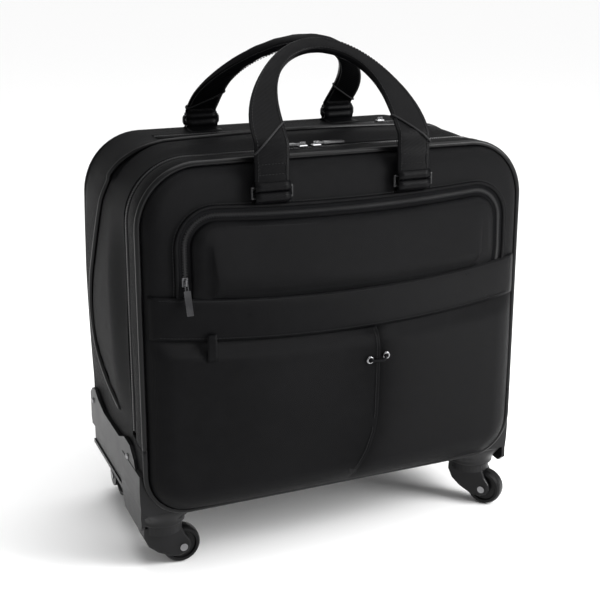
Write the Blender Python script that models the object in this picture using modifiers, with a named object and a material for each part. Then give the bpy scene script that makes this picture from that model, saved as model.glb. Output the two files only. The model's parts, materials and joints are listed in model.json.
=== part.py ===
"""Rolling laptop case: a soft case on a wheeled base with a telescopic pull handle.

Frame: X to the case's left-right, Y from front (-) to back (+), Z up, ground at Z = 0.
"""
import math

import bmesh
import bpy
from mathutils import Matrix, Vector

# Overall body, metres
GAP = 0.0003
FRONT_Y = -0.0982
HALF_W = 0.2115
BASE_Z = 0.073
TOP_Z = 0.432
TOP_R = 0.062
BOTTOM_R = 0.045
WALL = 0.004

# Stations behind the front piping
COVER_DEPTH = 0.030
MAIN_FRONT = 0.0365
MAIN_BACK = 0.1085
SEAM_Y = 0.110
REAR_FRONT = 0.1115
REAR_BACK = 0.2075
BACK_FRONT = 0.2078
BACK_BACK = 0.2255

# Front cover and what is sewn on it
FOLD_Z = 0.1475
FOLD_GAP = 0.0005
COVER_PAD = 0.012
COVER_PAD_INSET = 0.012
PAD_FACE = 0.0123
LOWER_PAD = 0.0235
LOWER_PAD_INSET = 0.020
POCKET_FACE = 0.0275
POCKET_WALL = 0.002
BAND_FACE = 0.0245
PIPING_R = 0.0026

# Running gear
CASTER_X = 0.187
CASTER_Y = 0.033
CASTER_TRAIL = 0.020
CASTER_WHEEL_R = 0.0205
CASTER_WHEEL_W = 0.016
AXLE_R = 0.003
RUNNING = 0.0001
STEM_R = 0.004
REAR_WHEEL_X = 0.1785
REAR_WHEEL_Y = 0.2003
REAR_WHEEL_R = 0.027
REAR_WHEEL_W = 0.022

# Telescopic handle
TUBE_X = 0.044
TUBE_Y = 0.2168
OUTER_TUBE = (0.022, 0.014)
MIDDLE_TUBE = (0.0184, 0.0104)
INNER_TUBE = (0.0150, 0.0070)
TUBE_WALL = 0.0012
GRIP_BOTTOM = 0.4049
GRIP_TOP = 0.4245

# Carrying handles
FRONT_HANDLE_X = -0.0045
FRONT_HANDLE_HALF = 0.0765
FRONT_PIVOT = (-0.0205, 0.3965)
REAR_HANDLE_X = 0.004
REAR_HANDLE_HALF = 0.084
REAR_PIVOT = (0.196, 0.4385)
WEB_W = 0.036
RING_R = 0.0016
LOOP_BORE_R = 0.0021
LOOP_R = 0.0038


def depth(offset):
    """World Y of a station given as its distance behind the front piping."""
    return FRONT_Y + offset


for old in list(bpy.data.objects):
    bpy.data.objects.remove(old)

parts = bpy.data.collections.new("rolling_laptop_case")
cutters = bpy.data.collections.new("cutters")
bpy.context.scene.collection.children.link(parts)
bpy.context.scene.collection.children.link(cutters)

LOOKS = {
    "ballistic_nylon": ((0.030, 0.030, 0.033, 1.0), 0.62, 0.0),
    "webbing": ((0.024, 0.024, 0.027, 1.0), 0.55, 0.0),
    "piping": ((0.022, 0.022, 0.025, 1.0), 0.45, 0.0),
    "zip_tape": ((0.018, 0.018, 0.020, 1.0), 0.60, 0.0),
    "zip_metal": ((0.10, 0.10, 0.105, 1.0), 0.35, 0.9),
    "guard_plastic": ((0.045, 0.045, 0.048, 1.0), 0.42, 0.0),
    "wheel_rubber": ((0.028, 0.028, 0.030, 1.0), 0.50, 0.0),
    "steel": ((0.55, 0.55, 0.56, 1.0), 0.28, 1.0),
    "tube_aluminium": ((0.35, 0.35, 0.36, 1.0), 0.35, 1.0),
    "board": ((0.06, 0.06, 0.06, 1.0), 0.6, 0.0),
    "lining": ((0.09, 0.09, 0.095, 1.0), 0.8, 0.0),
    "elastic": ((0.02, 0.02, 0.02, 1.0), 0.7, 0.0),
}


def look(name, slot):
    """One Principled material for one piece."""
    colour, roughness, metallic = LOOKS[slot]
    mat = bpy.data.materials.new(name + "_look")
    mat.use_nodes = True
    shader = mat.node_tree.nodes["Principled BSDF"]
    shader.inputs["Base Color"].default_value = colour
    shader.inputs["Roughness"].default_value = roughness
    shader.inputs["Metallic"].default_value = metallic
    return mat


def mesh_object(name, mesh):
    obj = bpy.data.objects.new(name, mesh)
    bpy.context.scene.collection.objects.link(obj)
    return obj


def settled(obj):
    """The object's evaluated shape as a welded mesh in world space."""
    bpy.context.view_layer.update()
    graph = bpy.context.evaluated_depsgraph_get()
    mesh = bpy.data.meshes.new_from_object(obj.evaluated_get(graph))
    mesh.transform(obj.matrix_world)
    name = obj.name
    bpy.data.objects.remove(obj)
    bm = bmesh.new()
    bm.from_mesh(mesh)
    bmesh.ops.remove_doubles(bm, verts=bm.verts, dist=0.00001)
    bmesh.ops.recalc_face_normals(bm, faces=bm.faces)
    bm.to_mesh(mesh)
    bm.free()
    return mesh_object(name, mesh)


def bevel(obj, width, segments=2):
    mod = obj.modifiers.new("edge", "BEVEL")
    mod.width = width
    mod.segments = segments
    mod.limit_method = "ANGLE"
    mod.angle_limit = math.radians(40)
    return obj


def box(name, x, y, z, width=0.0, segments=2):
    """Box from (low, high) spans, with its edges rounded by width."""
    bpy.ops.mesh.primitive_cube_add(size=1.0)
    obj = bpy.context.active_object
    obj.name = name
    size = [span[1] - span[0] for span in (x, y, z)]
    centre = [(span[1] + span[0]) / 2 for span in (x, y, z)]
    obj.data.transform(Matrix.Translation(centre) @ Matrix.Diagonal((*size, 1.0)))
    if width:
        bevel(obj, width, segments)
    return obj


def rod(name, start, end, radius, sides=24, end_radius=None):
    """Cylinder, or cone frustum, between two points."""
    start, end = Vector(start), Vector(end)
    bpy.ops.mesh.primitive_cone_add(vertices=sides, radius1=radius,
                                    radius2=radius if end_radius is None else end_radius,
                                    depth=(end - start).length)
    obj = bpy.context.active_object
    obj.name = name
    turn = Vector((0, 0, 1)).rotation_difference(end - start).to_matrix().to_4x4()
    obj.data.transform(Matrix.Translation((start + end) / 2) @ turn)
    return obj


def flat(name, points, low, high, axis):
    """Flat outline extruded from low to high along axis ('X' of (y, z) or 'Y' of (x, z) points)."""
    curve = bpy.data.curves.new(name, "CURVE")
    curve.dimensions = "2D"
    curve.fill_mode = "BOTH"
    curve.extrude = (high - low) / 2
    spline = curve.splines.new("POLY")
    spline.points.add(len(points) - 1)
    for target, (u, v) in zip(spline.points, points):
        target.co = (u, v, 0.0, 1.0)
    spline.use_cyclic_u = True
    obj = mesh_object(name, curve)
    middle = (low + high) / 2
    if axis == "Y":
        obj.rotation_euler = (math.radians(90), 0, 0)
        obj.location = (0, middle, 0)
    else:
        obj.rotation_euler = (math.radians(90), 0, math.radians(90))
        obj.location = (middle, 0, 0)
    return settled(obj)


def tube(name, points, radius, closed=False):
    """Round cord along points."""
    curve = bpy.data.curves.new(name, "CURVE")
    curve.dimensions = "3D"
    curve.bevel_depth = radius
    curve.bevel_resolution = 2
    curve.use_fill_caps = not closed
    spline = curve.splines.new("POLY")
    spline.points.add(len(points) - 1)
    for target, place in zip(spline.points, points):
        target.co = (*place, 1.0)
    spline.use_cyclic_u = closed
    return settled(mesh_object(name, curve))


def turned(name, profile, centre, axis, steps=32):
    """Closed (radius, height) profile turned about an axis through centre."""
    mesh = bpy.data.meshes.new(name)
    count = len(profile)
    mesh.from_pydata([(r, 0.0, h) for r, h in profile],
                     [(i, (i + 1) % count) for i in range(count)], [])
    obj = mesh_object(name, mesh)
    mod = obj.modifiers.new("turn", "SCREW")
    mod.steps = steps
    mod.render_steps = steps
    mod.use_merge_vertices = True
    mod.merge_threshold = 0.00001
    turn = Vector((0, 0, 1)).rotation_difference(Vector(axis)).to_matrix().to_4x4()
    obj.matrix_world = Matrix.Translation(centre) @ turn
    return settled(obj)


def boolean(obj, other, operation):
    """Cut other from obj, or add it; other becomes a hidden guide."""
    mod = obj.modifiers.new(operation.lower(), "BOOLEAN")
    mod.operation = operation
    mod.object = other
    for home in list(other.users_collection):
        home.objects.unlink(other)
    cutters.objects.link(other)
    other.hide_render = True
    other.display_type = "WIRE"
    return obj


def cut(obj, other):
    return boolean(obj, other, "DIFFERENCE")


def add(obj, other):
    return boolean(obj, other, "UNION")


def finish(obj, name, slot, origin=(0, 0, 0), parent=None):
    """Name, material, collection, origin and parent of a finished piece."""
    obj.name = name
    obj.data.name = name
    obj.data.materials.clear()
    obj.data.materials.append(look(name, slot))
    obj.data.shade_smooth()
    obj.data.set_sharp_from_angle(angle=math.radians(35))
    for home in list(obj.users_collection):
        home.objects.unlink(obj)
    parts.objects.link(obj)
    obj.data.transform(Matrix.Translation(-Vector(origin)))
    obj.location = origin
    if parent is not None:
        obj.parent = parent
        obj.matrix_parent_inverse = Matrix.Translation(-parent.matrix_world.translation)
    bpy.context.view_layer.update()
    return obj


def outline(inset=0.0, x_half=HALF_W, z_low=BASE_Z, z_high=TOP_Z, r_top=TOP_R, r_low=BOTTOM_R,
            x_mid=0.0, steps=6):
    """Round-cornered upright rectangle as (x, z) points, counter-clockwise from its right side."""
    half = x_half - inset
    low, high = z_low + inset, z_high - inset
    corners = ((half, high, r_top - inset, -1, -1, 0), (-half, high, r_top - inset, 1, -1, 90),
               (-half, low, r_low - inset, 1, 1, 180), (half, low, r_low - inset, -1, 1, 270))
    points = []
    for x, z, r, to_x, to_z, start in corners:
        for i in range(steps + 1):
            a = math.radians(start + 90 * i / steps)
            points.append((x_mid + x + to_x * r + r * math.cos(a), z + to_z * r + r * math.sin(a)))
    return points


def arch(inset, z_end, **shape):
    """The outline's upper run, from z_end on the right over the top to z_end on the left."""
    steps = 8
    full = outline(inset, steps=steps, **shape)
    upper = full[:2 * (steps + 1)]
    return [(upper[0][0], z_end)] + upper + [(upper[-1][0], z_end)]


def ribbon(name, outer, inner, low, high):
    """Band between two open runs of (x, z) points, extruded along Y."""
    return flat(name, outer + inner[::-1], low, high, "Y")


def loft(name, rings):
    """Closed solid through a row of equal rings, with flat ends."""
    bm = bmesh.new()
    rows = [[bm.verts.new(p) for p in ring] for ring in rings]
    count = len(rows[0])
    for a, b in zip(rows, rows[1:]):
        for i in range(count):
            j = (i + 1) % count
            bm.faces.new((a[i], a[j], b[j], b[i]))
    bm.faces.new(rows[0][::-1])
    bm.faces.new(rows[-1])
    bmesh.ops.recalc_face_normals(bm, faces=bm.faces)
    mesh = bpy.data.meshes.new(name)
    bm.to_mesh(mesh)
    bm.free()
    return mesh_object(name, mesh)


# ---------------------------------------------------------------- case body
def front_box(name, z):
    """Everything in front of the main zip, over a span of heights."""
    return box(name, (-0.3, 0.3), (depth(-0.06), depth(MAIN_FRONT)), z)


shell = flat("main_shell", outline(), depth(0), depth(MAIN_BACK), "Y")
add(shell, flat("main_shell_pad", outline(LOWER_PAD_INSET), depth(-LOWER_PAD), depth(0.001), "Y"))
cut(shell, front_box("main_shell_mouth", (FOLD_Z - FOLD_GAP, 0.6)))
cut(shell, flat("main_shell_room", outline(WALL), depth(WALL), depth(MAIN_BACK - WALL), "Y"))
main_shell = finish(shell, "main_shell", "ballistic_nylon")

shell = flat("rear_shell", outline(), depth(REAR_FRONT), depth(REAR_BACK), "Y")
cut(shell, flat("rear_shell_room", outline(WALL), depth(REAR_FRONT + WALL), depth(REAR_BACK - WALL), "Y"))
SLOT = (0.145, 0.170)
SLOT_HALF = 0.145
cut(shell, box("rear_shell_slot", (-SLOT_HALF, SLOT_HALF), (depth(SLOT[0]), depth(SLOT[1])), (0.42, 0.44)))
finish(shell, "rear_shell", "ballistic_nylon", parent=main_shell)

finish(box("rear_zip", (GAP - SLOT_HALF, SLOT_HALF - GAP), (depth(SLOT[0] + GAP), depth(SLOT[1] - GAP)),
           (TOP_Z - 0.0035, TOP_Z)), "rear_zip", "zip_tape", parent=main_shell)

ZIP_END = 0.150
finish(ribbon("main_zip", arch(0.0004, ZIP_END), arch(0.0034, ZIP_END), depth(COVER_DEPTH + GAP),
              depth(MAIN_FRONT - GAP)), "main_zip", "zip_tape", parent=main_shell)

seam_run = [(x, depth(SEAM_Y), z) for x, z in arch(-0.0026, ZIP_END)]
finish(tube("seam_piping", seam_run, PIPING_R), "seam_piping", "piping", parent=main_shell)

full_run = outline(0.0015, steps=8)
half_count = len(full_run) // 2
low_run = [(full_run[half_count - 1][0], FOLD_Z - 0.001)] + full_run[half_count:]
low_run.append((full_run[0][0], FOLD_Z - 0.001))
finish(tube("lower_piping", [(x, depth(-PIPING_R - 0.0004), z) for x, z in low_run], PIPING_R),
       "lower_piping", "piping", parent=main_shell)

finish(box("base_board", (-0.150, 0.150), (depth(0.0410), depth(0.1040)),
           (BASE_Z + WALL + GAP, BASE_Z + WALL + 0.003), 0.0008, 1), "base_board", "board", parent=main_shell)

sleeve = box("laptop_sleeve", (-0.185, 0.185), (depth(0.0720), depth(0.1042)), (0.0850, 0.3300))
cut(sleeve, box("laptop_sleeve_room", (-0.182, 0.182), (depth(0.0750), depth(0.1012)), (0.0880, 0.3400)))
finish(sleeve, "laptop_sleeve", "lining", parent=main_shell)

# ---------------------------------------------------------------- front cover
HINGE = (0.0, depth(-LOWER_PAD - 0.0045), FOLD_Z)
cover = flat("front_cover", outline(), depth(0), depth(COVER_DEPTH), "Y")
add(cover, flat("front_cover_pad", outline(COVER_PAD_INSET), depth(-COVER_PAD), depth(0.001), "Y"))
cut(cover, front_box("front_cover_foot", (0.0, FOLD_Z + FOLD_GAP)))
cut(cover, flat("front_cover_room", outline(WALL), depth(WALL), depth(COVER_DEPTH + 0.001), "Y"))
front_cover = finish(cover, "front_cover", "ballistic_nylon", HINGE)

piping_run = [(x, depth(-PIPING_R - 0.0004), z) for x, z in arch(0.0015, FOLD_Z + 0.001)]
finish(tube("front_piping", piping_run, PIPING_R), "front_piping", "piping", HINGE, front_cover)

POCKET = {"x_half": 0.1665, "z_low": 0.3035, "z_high": 0.3780, "r_top": 0.026, "r_low": 0.004, "x_mid": 0.005}
pocket = flat("front_pocket", outline(0.0, **POCKET), depth(-POCKET_FACE), depth(-PAD_FACE), "Y")
cut(pocket, flat("front_pocket_room", outline(POCKET_WALL, **POCKET), depth(-POCKET_FACE + POCKET_WALL),
                 depth(-PAD_FACE + 0.001), "Y"))
finish(pocket, "front_pocket", "ballistic_nylon", HINGE, front_cover)

finish(ribbon("pocket_zip", arch(-0.0105, 0.3120, **POCKET), arch(-0.0045, 0.3120, **POCKET),
              depth(-PAD_FACE - 0.0022), depth(-PAD_FACE)), "pocket_zip", "zip_tape", HINGE, front_cover)

BAND_Z = (0.2525, 0.2980)
finish(box("band_strap", (-0.1985, 0.1985), (depth(-BAND_FACE), depth(-PAD_FACE)), BAND_Z, 0.003),
       "band_strap", "webbing", HINGE, front_cover)

PLEAT_X = 0.031
PANEL_Z = (FOLD_Z + FOLD_GAP + 0.0005, BAND_Z[0] - GAP)
for side, span in (("left", (-0.1960, PLEAT_X - 0.001)), ("right", (PLEAT_X + 0.001, 0.1960))):
    finish(box("panel", span, (depth(-LOWER_PAD), depth(-PAD_FACE)), PANEL_Z, 0.004),
           "lower_panel_" + side, "ballistic_nylon", HINGE, front_cover)

EYELET_Z = 0.2200
EYELET_X = 0.011
for side, sign in (("left", -1), ("right", 1)):
    place = (PLEAT_X + sign * EYELET_X, depth(-LOWER_PAD - 0.0003), EYELET_Z)
    ring_profile = [(0.0040, 0.0008), (0.0040, 0.0), (0.0019, 0.0), (0.0019, 0.0012), (0.0032, 0.0012)]
    finish(turned("eyelet", ring_profile, place, (0, -1, 0), 20), "eyelet_" + side, "steel", HINGE,
           front_cover)
cord_y = depth(-LOWER_PAD - 0.0028)
cord_run = [(PLEAT_X + EYELET_X * t, cord_y, EYELET_Z) for t in (-0.9, -0.45, 0.0, 0.45, 0.9)]
finish(tube("elastic_cord", cord_run, 0.0012), "elastic_cord", "elastic", HINGE, front_cover)

finish(box("label_tab", (-0.1500, -0.1410), (depth(-LOWER_PAD - 0.0014), depth(-LOWER_PAD - 0.0004)),
           (0.2270, 0.2520), 0.0003, 1), "label_tab", "webbing", HINGE, front_cover)


# ---------------------------------------------------------------- zip sliders and pulls
EYE_RISE = 0.0038


def slider(name, x, y, z, along, up, slot="zip_metal", **home):
    """Zip slider: a waisted body with a bridge; along and up are unit vectors."""
    frame = Matrix((along, up.cross(along), up)).transposed().to_4x4()
    frame.translation = (x, y, z)
    body = box(name, (-0.0050, 0.0050), (-0.0032, 0.0032), (0.0, 0.0026), 0.0008, 1)
    add(body, box(name + "_bridge", (-0.0032, 0.0032), (-0.0007, 0.0007), (0.0020, 0.0056)))
    cut(body, rod(name + "_eye", (0, -0.01, EYE_RISE), (0, 0.01, EYE_RISE), 0.0009, 10))
    bpy.context.view_layer.update()
    body = settled(body)
    body.data.transform(frame)
    return finish(body, name, slot, (x, y, z), **home)


def pull(name, x, y, z, along, up, length, **home):
    """Zip pull lying along a direction, turning on the slider's eye."""
    frame = Matrix((along, up.cross(along), up)).transposed().to_4x4()
    eye = Vector((x, y, z)) + up * EYE_RISE
    frame.translation = eye
    body = rod(name, (0, -0.0018, 0), (0, 0.0018, 0), 0.0006, 10)
    for sign in (-1, 1):
        add(body, box(name + "_arm", (-0.0010, 0.0090), (sign * 0.0014 - 0.0005, sign * 0.0014 + 0.0005),
                      (-0.0007, 0.0007)))
    add(body, box(name + "_tab", (0.0080, length), (-0.0034, 0.0034), (-0.0009, 0.0009)))
    body = settled(body)
    body.data.transform(frame)
    return finish(body, name, "zip_metal", tuple(eye), **home)


UP = Vector((0, 0, 1))
OUT = Vector((0, -1, 0))
RIGHT = Vector((1, 0, 0))
ZIP_Y = depth((COVER_DEPTH + MAIN_FRONT) / 2)
for side, sign, x in (("left", -1, -0.026), ("right", 1, -0.011)):
    runner = slider("main_slider_" + side, x, ZIP_Y, TOP_Z + GAP, RIGHT * sign, UP, parent=main_shell)
    pull("main_pull_" + side, x, ZIP_Y, TOP_Z + GAP, RIGHT * sign, UP, 0.030, parent=runner)

ZIP_SIDE_X = POCKET["x_mid"] - POCKET["x_half"] - 0.0075
pocket_face = depth(-PAD_FACE - 0.0022 - GAP)
POCKET_SLIDER_Z = 0.3200
runner = slider("pocket_slider", ZIP_SIDE_X, pocket_face, POCKET_SLIDER_Z, -UP, OUT, parent=front_cover)
PULL_LEAN = math.radians(21)
hang = Vector((0, -math.sin(PULL_LEAN), -math.cos(PULL_LEAN)))
face_out = Vector((0, -math.cos(PULL_LEAN), math.sin(PULL_LEAN)))
eye_shift = (OUT - face_out) * EYE_RISE
pull("pocket_pull", ZIP_SIDE_X, pocket_face + eye_shift.y, POCKET_SLIDER_Z + eye_shift.z, hang, face_out,
     0.032, parent=runner)

REAR_SLIDER_X = 0.125
rear_slide_y = depth((SLOT[0] + SLOT[1]) / 2)
slider("rear_slider", REAR_SLIDER_X, rear_slide_y, TOP_Z + GAP, RIGHT, UP, parent=main_shell)

# ---------------------------------------------------------------- back panel and telescopic handle
back = flat("back_panel", outline(0.004), depth(BACK_FRONT), depth(BACK_BACK), "Y")
channel_x = OUTER_TUBE[0] / 2 + GAP
channel_y = OUTER_TUBE[1] / 2 + GAP
for sign in (-1, 1):
    cut(back, box("tube_channel", (sign * TUBE_X - channel_x, sign * TUBE_X + channel_x),
                  (depth(TUBE_Y) - channel_y, depth(TUBE_Y) + channel_y), (0.082, 0.5)))
cut(back, box("grip_recess", (-0.066, 0.066), (depth(0.2), depth(0.24)), (0.3977, 0.5)))
back_panel = finish(back, "back_panel", "ballistic_nylon", parent=main_shell)


def section_tube(name, x, size, z, wall):
    """Upright rectangular tube; wall 0 makes it solid."""
    half_x = size[0] / 2
    half_y = size[1] / 2
    y = depth(TUBE_Y)
    body = box(name, (x - half_x, x + half_x), (y - half_y, y + half_y), z, 0.0008, 1)
    if wall:
        cut(body, box(name + "_bore", (x - half_x + wall, x + half_x - wall),
                      (y - half_y + wall, y + half_y - wall), (z[0] - 0.01, z[1] + 0.01)))
    return body


bezel = box("handle_bezel", (-0.0645, 0.0645), (depth(0.2085), depth(0.2252)), (0.3980, 0.4030), 0.0012, 1)
for sign in (-1, 1):
    cut(bezel, box("bezel_hole", (sign * TUBE_X - 0.0096, sign * TUBE_X + 0.0096),
                   (depth(TUBE_Y) - 0.0056, depth(TUBE_Y) + 0.0056), (0.38, 0.42)))
finish(bezel, "handle_bezel", "guard_plastic", parent=main_shell)

sides = (("left", -1), ("right", 1))
for side, sign in sides:
    finish(section_tube("tube", sign * TUBE_X, OUTER_TUBE, (0.0825, 0.3974), TUBE_WALL), "outer_tube_" + side,
           "tube_aluminium", parent=main_shell)
middle = [finish(section_tube("tube", sign * TUBE_X, MIDDLE_TUBE, (0.0900, 0.4040), TUBE_WALL),
                 "middle_tube_" + side, "tube_aluminium") for side, sign in sides]
inner = [finish(section_tube("tube", sign * TUBE_X, INNER_TUBE, (0.0960, GRIP_BOTTOM - GAP), 0.0),
                "inner_tube_" + side, "tube_aluminium", parent=middle[0]) for side, sign in sides]

grip = box("pull_grip", (-0.0590, 0.0590), (depth(0.2090), depth(0.2248)), (GRIP_BOTTOM, GRIP_TOP), 0.004, 3)
cut(grip, box("button_well", (-0.0163, 0.0163), (depth(TUBE_Y) - 0.0048, depth(TUBE_Y) + 0.0048),
              (0.4180, 0.43)))
finish(grip, "pull_grip", "guard_plastic", parent=middle[0])
finish(box("grip_button", (-0.0160, 0.0160), (depth(TUBE_Y) - 0.0045, depth(TUBE_Y) + 0.0045),
           (0.4212, 0.4260), 0.0010, 2),
       "grip_button", "guard_plastic", (0, depth(TUBE_Y), 0.4212), parent=middle[0])


# ---------------------------------------------------------------- carrying handles
def web_loop(name, x, pivot, base_y, base_z):
    """Sewn webbing loop round a ring bar, with its tail on the case."""
    y, z = pivot
    body = rod(name, (x - WEB_W / 2, y, z), (x + WEB_W / 2, y, z), LOOP_R, 16)
    add(body, box(name + "_tail", (x - WEB_W / 2 + 0.0002, x + WEB_W / 2 - 0.0002), base_y, base_z))
    return cut(body, rod(name + "_bore", (x - 0.03, y, z), (x + 0.03, y, z), LOOP_BORE_R, 16))


def handle(name, x_mid, half, pivot, lean, bend_at, foot, rise, apex):
    """Webbing handle standing from a pivot: two flat legs and a folded, thicker grip.

    lean is the angle, in degrees, that the handle leans to +Y above bend_at; foot is where the
    webbing starts, rise where the legs turn into the arch and apex the arch's middle.
    """
    y0, z0 = pivot
    tilt = math.radians(lean)

    def place(u, v, w):
        """Point at u across, v along the handle's curved face, w in front of it."""
        bend = min(max((v - bend_at + 0.015) / 0.030, 0.0), 1.0) * tilt
        over = max(v - bend_at, 0.0)
        y = y0 + over * math.sin(tilt) - w * math.cos(bend)
        z = z0 + min(v, bend_at) + over * math.cos(tilt) + w * math.sin(bend)
        return (x_mid + u, y, z)

    steps = 9
    run = [(-half, foot + (rise - foot) * i / 4, 0.0) for i in range(4)]
    for i in range(2 * steps + 1):
        a = math.pi * i / (2 * steps)
        run.append((-half * math.cos(a), rise + (apex - rise) * math.sin(a), math.sin(a)))
    run += [(half, v, s) for _, v, s in run[:4][::-1]]
    rings = []
    for i, (u, v, share) in enumerate(run):
        before, after = run[max(i - 1, 0)], run[min(i + 1, len(run) - 1)]
        along = Vector((after[0] - before[0], after[1] - before[1])).normalized()
        across = Vector((-along.y, along.x))
        wide = WEB_W / 2 - 0.0065 * share
        thick = 0.0020 + 0.0040 * share
        ring = []
        for p, q in ((-1, -0.6), (-0.8, -1), (0.8, -1), (1, -0.6), (1, 0.6), (0.8, 1), (-0.8, 1), (-1, 0.6)):
            ring.append(place(u + across.x * wide * p, v + across.y * wide * p, q * thick))
        rings.append(ring)
    return loft(name, rings)


RING_RISE = 0.0100
FRONT_AXIS = (0.0, depth(FRONT_PIVOT[0]), FRONT_PIVOT[1])
strap = handle("front_handle", FRONT_HANDLE_X, FRONT_HANDLE_HALF, (FRONT_AXIS[1], FRONT_AXIS[2]), 42,
               0.052, RING_RISE, 0.060, 0.168)
for sign in (-1, 1):
    x = FRONT_HANDLE_X + sign * FRONT_HANDLE_HALF
    bar = (FRONT_AXIS[1], FRONT_AXIS[2] + RING_RISE)
    add(strap, rod("front_handle_end", (x - WEB_W / 2, *bar), (x + WEB_W / 2, *bar), LOOP_R, 16))
    cut(strap, rod("front_handle_bore", (x - 0.03, *bar), (x + 0.03, *bar), LOOP_BORE_R, 16))
front_handle = finish(strap, "front_handle", "webbing", FRONT_AXIS, front_cover)

RING_HALF = WEB_W / 2 + 0.0026
for side, sign in sides:
    x = FRONT_HANDLE_X + sign * FRONT_HANDLE_HALF
    corners = ((-RING_HALF, 0.0), (RING_HALF, 0.0), (RING_HALF, RING_RISE), (-RING_HALF, RING_RISE))
    path = [(x + u, FRONT_AXIS[1], FRONT_AXIS[2] + v) for u, v in corners]
    finish(tube("ring", path, RING_R, closed=True), "front_ring_" + side, "zip_metal", FRONT_AXIS,
           front_handle)
    anchor = web_loop("front_anchor_" + side, x, FRONT_AXIS[1:], (FRONT_AXIS[1] + 0.0030, depth(-PAD_FACE)),
                      (FRONT_AXIS[2] - 0.0020, FRONT_AXIS[2] + 0.0030))
    finish(anchor, "front_anchor_" + side, "webbing", HINGE, front_cover)

REAR_AXIS = (0.0, depth(REAR_PIVOT[0]), REAR_PIVOT[1])
strap = handle("rear_handle", REAR_HANDLE_X, REAR_HANDLE_HALF, (REAR_AXIS[1], REAR_AXIS[2]), -50,
               0.014, 0.0065, 0.030, 0.140)
for sign in (-1, 1):
    x = REAR_HANDLE_X + sign * REAR_HANDLE_HALF
    y, z = REAR_AXIS[1:]
    add(strap, rod("rear_handle_bar", (x - RING_HALF, y, z), (x + RING_HALF, y, z), RING_R, 16))
    for edge in (-1, 1):
        cheek = x + edge * (WEB_W / 2 + 0.0016)
        add(strap, box("rear_handle_cheek", (cheek - 0.0010, cheek + 0.0010), (y - 0.0014, y + 0.0014),
                       (z - 0.0010, z + 0.0090)))
    add(strap, box("rear_handle_bridge", (x - WEB_W / 2 - 0.0022, x + WEB_W / 2 + 0.0022),
                   (y - 0.0015, y + 0.0015), (z + 0.0060, z + 0.0092)))
rear_handle = finish(strap, "rear_handle", "webbing", REAR_AXIS)
for side, sign in sides:
    x = REAR_HANDLE_X + sign * REAR_HANDLE_HALF
    anchor = web_loop("rear_anchor_" + side, x, REAR_AXIS[1:], (REAR_AXIS[1] - 0.0030, REAR_AXIS[1] + 0.0030),
                      (TOP_Z + GAP, REAR_AXIS[2] - 0.0022))
    finish(anchor, "rear_anchor_" + side, "webbing", parent=main_shell)


# ---------------------------------------------------------------- corner guards and running gear
def mirrored(span, sign):
    """A span of X given for the right side, on either side."""
    return (span[0], span[1]) if sign > 0 else (-span[1], -span[0])


GUARD_X = (0.2118, 0.2155)
GUARD_OUTLINE = ((0.0040, 0.060), (0.0120, 0.053), (0.0700, 0.053), (0.0780, 0.068), (0.0860, 0.092),
                 (0.1500, 0.097), (0.2120, 0.092), (0.2150, 0.100), (0.2140, 0.131), (0.2040, 0.139),
                 (0.1900, 0.141), (0.1760, 0.134), (0.1500, 0.128), (0.0850, 0.128), (0.0620, 0.137),
                 (0.0400, 0.136), (0.0260, 0.126), (0.0120, 0.104), (0.0050, 0.084))
SCREWS = (("rear", 0.2020, 0.124), ("front", 0.0500, 0.120))


def corner_guard(side, sign):
    """One moulding: side plate, sole, caster housing, wheel-arch skirt and rear wheel cheeks."""
    plate = [(depth(y), z) for y, z in GUARD_OUTLINE]
    x = mirrored(GUARD_X, sign)
    body = flat("guard_" + side, plate, x[0], x[1], "X")
    add(body, box("sole", mirrored((0.1500, 0.2141), sign), (depth(0.010), depth(0.2140)), (0.0670, 0.0715)))
    add(body, box("skirt", mirrored((0.2046, 0.2126), sign), (depth(0.0800), depth(0.2130)),
                  (0.0675, 0.0935)))
    centre = (sign * CASTER_X, depth(CASTER_Y))
    add(body, rod("housing", (*centre, 0.0520), (*centre, 0.0690), 0.0225, 32, 0.0266))
    cut(body, rod("stem_bore", (*centre, 0.0400), (*centre, 0.0640), STEM_R + RUNNING, 24))
    for cheek in ((0.1600, 0.1640), (0.1930, 0.1970)):
        low, high = mirrored(cheek, sign)
        add(body, box("cheek", (low, high), (depth(0.1893), depth(0.2113)), (0.0262, 0.0683)))
        add(body, rod("cheek_boss", (low, depth(REAR_WHEEL_Y), REAR_WHEEL_R),
                      (high, depth(REAR_WHEEL_Y), REAR_WHEEL_R), 0.0122, 24))
    cut(body, rod("axle_bore", (sign * 0.14, depth(REAR_WHEEL_Y), REAR_WHEEL_R),
                  (sign * 0.205, depth(REAR_WHEEL_Y), REAR_WHEEL_R), AXLE_R + RUNNING, 20))
    for _, y, z in SCREWS:
        cut(body, rod("screw_hole", (sign * 0.20, depth(y), z), (sign * 0.23, depth(y), z), 0.0018, 12))
    finish(settled(body), "corner_guard_" + side, "guard_plastic", parent=main_shell)
    for place, y, z in SCREWS:
        face = sign * (GUARD_X[1] + GAP)
        screw = rod("screw", (face, depth(y), z), (face + sign * 0.0013, depth(y), z), 0.0034, 16, 0.0026)
        add(screw, rod("screw_shank", (sign * (GUARD_X[0] + GAP), depth(y), z),
                       (face + sign * 0.0005, depth(y), z),
                       0.0015, 12))
        finish(screw, "guard_screw_" + place + "_" + side, "steel", parent=main_shell)


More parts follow.
